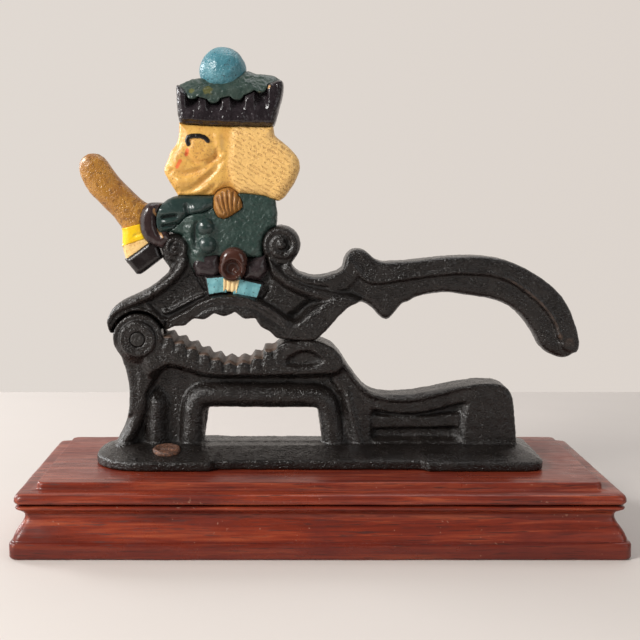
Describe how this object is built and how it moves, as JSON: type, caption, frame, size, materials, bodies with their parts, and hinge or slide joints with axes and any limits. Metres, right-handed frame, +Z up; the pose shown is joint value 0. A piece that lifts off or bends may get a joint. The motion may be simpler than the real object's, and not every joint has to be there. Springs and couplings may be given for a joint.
{
  "type": "lever nutcracker",
  "caption": "Cast lever nutcracker on a moulded wooden plinth, with a hinged toothed jaw that carries a painted half figure of a soldier.",
  "frame": {"origin": "centre of the plinth's underside", "axes": "+X along the plinth towards the handle, +Y away from the front face, +Z up"},
  "size_m": [0.28, 0.12, 0.2325],
  "materials": {
    "stained_wood": "red-brown stain, satin",
    "black_iron": "worn black enamel over a sand-cast surface",
    "rusty_screw": "rusted",
    "dark_steel": "darkened, worn",
    "green_paint": "dark green enamel, semi-gloss",
    "brown_paint": "purple-brown enamel, glossy",
    "ochre_paint": "ochre enamel, satin",
    "ochre_brown_paint": "ochre enamel with brown wear",
    "black_paint": "black enamel, semi-gloss",
    "blue_paint": "teal blue enamel, satin",
    "gold_paint": "dull gold enamel",
    "yellow_paint": "yellow enamel",
    "cream_paint": "cream enamel",
    "purple_paint": "purple-grey enamel"
  },
  "bodies": {
    "base": {"plinth_bottom_board": "stained_wood", "plinth_top_board": "stained_wood", "frame_casting": "black_iron", "foot_screw_front": "rusty_screw", "foot_screw_rear": "rusty_screw", "pivot_pin": "dark_steel"},
    "lever": {"lever_casting": "black_iron", "coat": "green_paint", "sleeve": "green_paint", "cuff": "brown_paint", "fist": "ochre_brown_paint", "head": "ochre_paint", "cap_band": "black_paint", "cap_crown": "green_paint", "pompom": "blue_paint", "baton": "gold_paint", "baton_yellow_band": "yellow_paint", "baton_cream_band": "cream_paint", "baton_ferrule": "black_paint", "belt_left_front": "purple_paint", "belt_left_back": "purple_paint", "belt_right_front": "purple_paint", "belt_right_back": "purple_paint", "boss_cup_front": "brown_paint", "boss_cup_back": "brown_paint", "figure_rivet": "dark_steel", "ribbon_left_front": "blue_paint", "ribbon_left_back": "blue_paint", "ribbon_clasp_front": "cream_paint", "ribbon_clasp_back": "cream_paint", "ribbon_right_front": "blue_paint", "ribbon_right_back": "blue_paint", "button_upper": "green_paint", "button_lower": "green_paint"}
  },
  "joints": [
    {"name": "lever_hinge", "type": "hinge", "parent": "base", "child": "lever", "pos_m": [-0.0863, 0, 0.0938], "axis": [0, -1, 0], "range_deg": [0, 50]}
  ]
}
